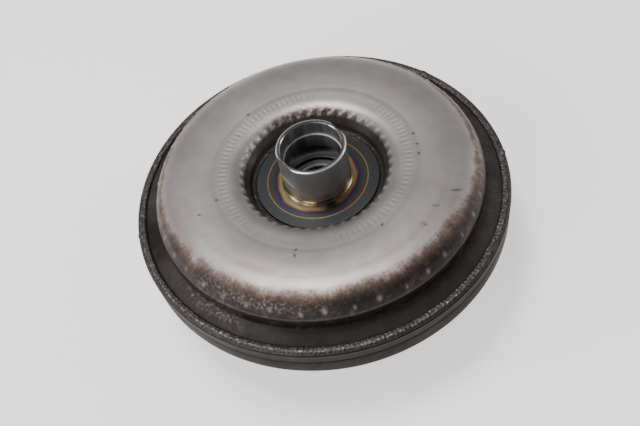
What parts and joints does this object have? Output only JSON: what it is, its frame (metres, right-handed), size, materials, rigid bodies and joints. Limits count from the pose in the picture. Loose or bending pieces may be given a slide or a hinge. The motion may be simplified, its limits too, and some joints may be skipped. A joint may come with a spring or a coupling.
{
  "type": "torque converter",
  "caption": "Round welded torque converter with a domed pump shell and splined hub, holding a turbine, a stator on a one-way clutch and a sprung lock-up clutch.",
  "frame": {"origin": "on the rotation axis, in the plane of the flat tip of the pilot boss", "axes": "+Z along the rotation axis, from the engine side towards the gearbox side, where the hub points; +X through one of the hub's two drive flats"},
  "size_m": [0.242, 0.242, 0.1017],
  "materials": {
    "shell_steel": "satin warm grey steel with brown oxide on the shoulder",
    "oxidised_steel": "dark brown oxidised steel",
    "ground_steel": "ground and polished steel",
    "weld_metal": "rippled charcoal weld bead",
    "pressed_steel": "oiled pressed steel sheet",
    "cast_aluminium": "fine cast aluminium",
    "spring_steel": "dark tempered spring steel",
    "friction_paper": "brown paper friction lining",
    "seal_polymer": "black bearing and seal polymer"
  },
  "bodies": {
    "housing": {"pump_shell": "shell_steel", "pump_hub": "ground_steel", "hub_weld": "weld_metal", "pump_vane_ring": "pressed_steel", "front_cover": "oxidised_steel", "closing_weld": "weld_metal", "pilot_boss": "ground_steel", "pilot_weld": "weld_metal", "drive_lug_1": "ground_steel", "drive_lug_2": "ground_steel", "drive_lug_3": "ground_steel", "drive_lug_4": "ground_steel", "balance_weight_1": "weld_metal", "balance_weight_2": "weld_metal", "cover_thrust_washer": "seal_polymer", "rear_bearing_race": "ground_steel"},
    "turbine": {"turbine_shell": "pressed_steel", "turbine_vane_ring": "pressed_steel", "turbine_hub": "ground_steel", "damper_driven_plate": "pressed_steel", "piston_seal": "seal_polymer", "front_bearing_race": "ground_steel", "turbine_rivet_1": "spring_steel", "turbine_rivet_2": "spring_steel", "turbine_rivet_3": "spring_steel", "turbine_rivet_4": "spring_steel", "turbine_rivet_5": "spring_steel", "turbine_rivet_6": "spring_steel"},
    "damper_drive": {"damper_front_plate": "pressed_steel", "damper_rear_plate": "pressed_steel", "damper_pin_1": "spring_steel", "damper_pin_2": "spring_steel", "damper_pin_3": "spring_steel", "damper_pin_4": "spring_steel", "damper_spring_1": "spring_steel", "damper_spring_2": "spring_steel", "damper_spring_3": "spring_steel", "damper_spring_4": "spring_steel"},
    "piston": {"lockup_piston": "pressed_steel", "friction_lining": "friction_paper"},
    "stator_race": {"stator_inner_race": "ground_steel"},
    "stator": {"stator_wheel": "cast_aluminium", "stator_outer_race": "ground_steel", "clutch_rear_plate": "spring_steel", "clutch_front_plate": "spring_steel", "stator_snap_ring": "spring_steel", "roller_spring_1": "spring_steel", "roller_spring_2": "spring_steel", "roller_spring_3": "spring_steel", "roller_spring_4": "spring_steel", "roller_spring_5": "spring_steel", "roller_spring_6": "spring_steel"},
    "rear_cage": {"rear_bearing_cage": "spring_steel"},
    "front_cage": {"front_bearing_cage": "spring_steel"},
    "roller_1": {"clutch_roller_1": "ground_steel"},
    "roller_2": {"clutch_roller_2": "ground_steel"},
    "roller_3": {"clutch_roller_3": "ground_steel"},
    "roller_4": {"clutch_roller_4": "ground_steel"},
    "roller_5": {"clutch_roller_5": "ground_steel"},
    "roller_6": {"clutch_roller_6": "ground_steel"}
  },
  "joints": [
    {"name": "turbine_spin", "type": "hinge", "parent": "housing", "child": "turbine", "pos_m": [0, 0, 0.054], "axis": [0, 0, 1], "continuous": true},
    {"name": "damper_twist", "type": "hinge", "parent": "turbine", "child": "damper_drive", "pos_m": [0, 0, 0.034], "axis": [0, 0, 1], "range_deg": [-8, 8], "stiffness_Nm_per_rad": 300, "deforming": ["damper_spring_1", "damper_spring_2", "damper_spring_3", "damper_spring_4"]},
    {"name": "piston_slide", "type": "slide", "parent": "damper_drive", "child": "piston", "axis": [0, 0, 1], "range_m": [0, 0.0012]},
    {"name": "race_spin", "type": "hinge", "parent": "housing", "child": "stator_race", "pos_m": [0, 0, 0.057], "axis": [0, 0, 1], "continuous": true},
    {"name": "stator_overrun", "type": "hinge", "parent": "stator_race", "child": "stator", "pos_m": [0, 0, 0.057], "axis": [0, 0, 1], "continuous": true},
    {"name": "rear_cage_spin", "type": "hinge", "parent": "housing", "child": "rear_cage", "pos_m": [0, 0, 0.0648], "axis": [0, 0, 1], "continuous": true},
    {"name": "front_cage_spin", "type": "hinge", "parent": "housing", "child": "front_cage", "pos_m": [0, 0, 0.049], "axis": [0, 0, 1], "continuous": true},
    {"name": "roller_1_spin", "type": "hinge", "parent": "stator", "child": "roller_1", "pos_m": [0.0292, 0, 0.0571], "axis": [0, 0, 1], "continuous": true},
    {"name": "roller_2_spin", "type": "hinge", "parent": "stator", "child": "roller_2", "pos_m": [0.0146, 0.02529, 0.0571], "axis": [0, 0, 1], "continuous": true},
    {"name": "roller_3_spin", "type": "hinge", "parent": "stator", "child": "roller_3", "pos_m": [-0.0146, 0.02529, 0.0571], "axis": [0, 0, 1], "continuous": true},
    {"name": "roller_4_spin", "type": "hinge", "parent": "stator", "child": "roller_4", "pos_m": [-0.0292, 0, 0.0571], "axis": [0, 0, 1], "continuous": true},
    {"name": "roller_5_spin", "type": "hinge", "parent": "stator", "child": "roller_5", "pos_m": [-0.0146, -0.02529, 0.0571], "axis": [0, 0, 1], "continuous": true},
    {"name": "roller_6_spin", "type": "hinge", "parent": "stator", "child": "roller_6", "pos_m": [0.0146, -0.02529, 0.0571], "axis": [0, 0, 1], "continuous": true}
  ],
  "couplings": [
    {"joint": "rear_cage_spin", "follows": "race_spin", "ratio": 0.5},
    {"joint": "front_cage_spin", "follows": "turbine_spin", "ratio": 0.5},
    {"joint": "roller_1_spin", "follows": "stator_overrun", "ratio": 8.6667},
    {"joint": "roller_2_spin", "follows": "stator_overrun", "ratio": 8.6667},
    {"joint": "roller_3_spin", "follows": "stator_overrun", "ratio": 8.6667},
    {"joint": "roller_4_spin", "follows": "stator_overrun", "ratio": 8.6667},
    {"joint": "roller_5_spin", "follows": "stator_overrun", "ratio": 8.6667},
    {"joint": "roller_6_spin", "follows": "stator_overrun", "ratio": 8.6667}
  ]
}
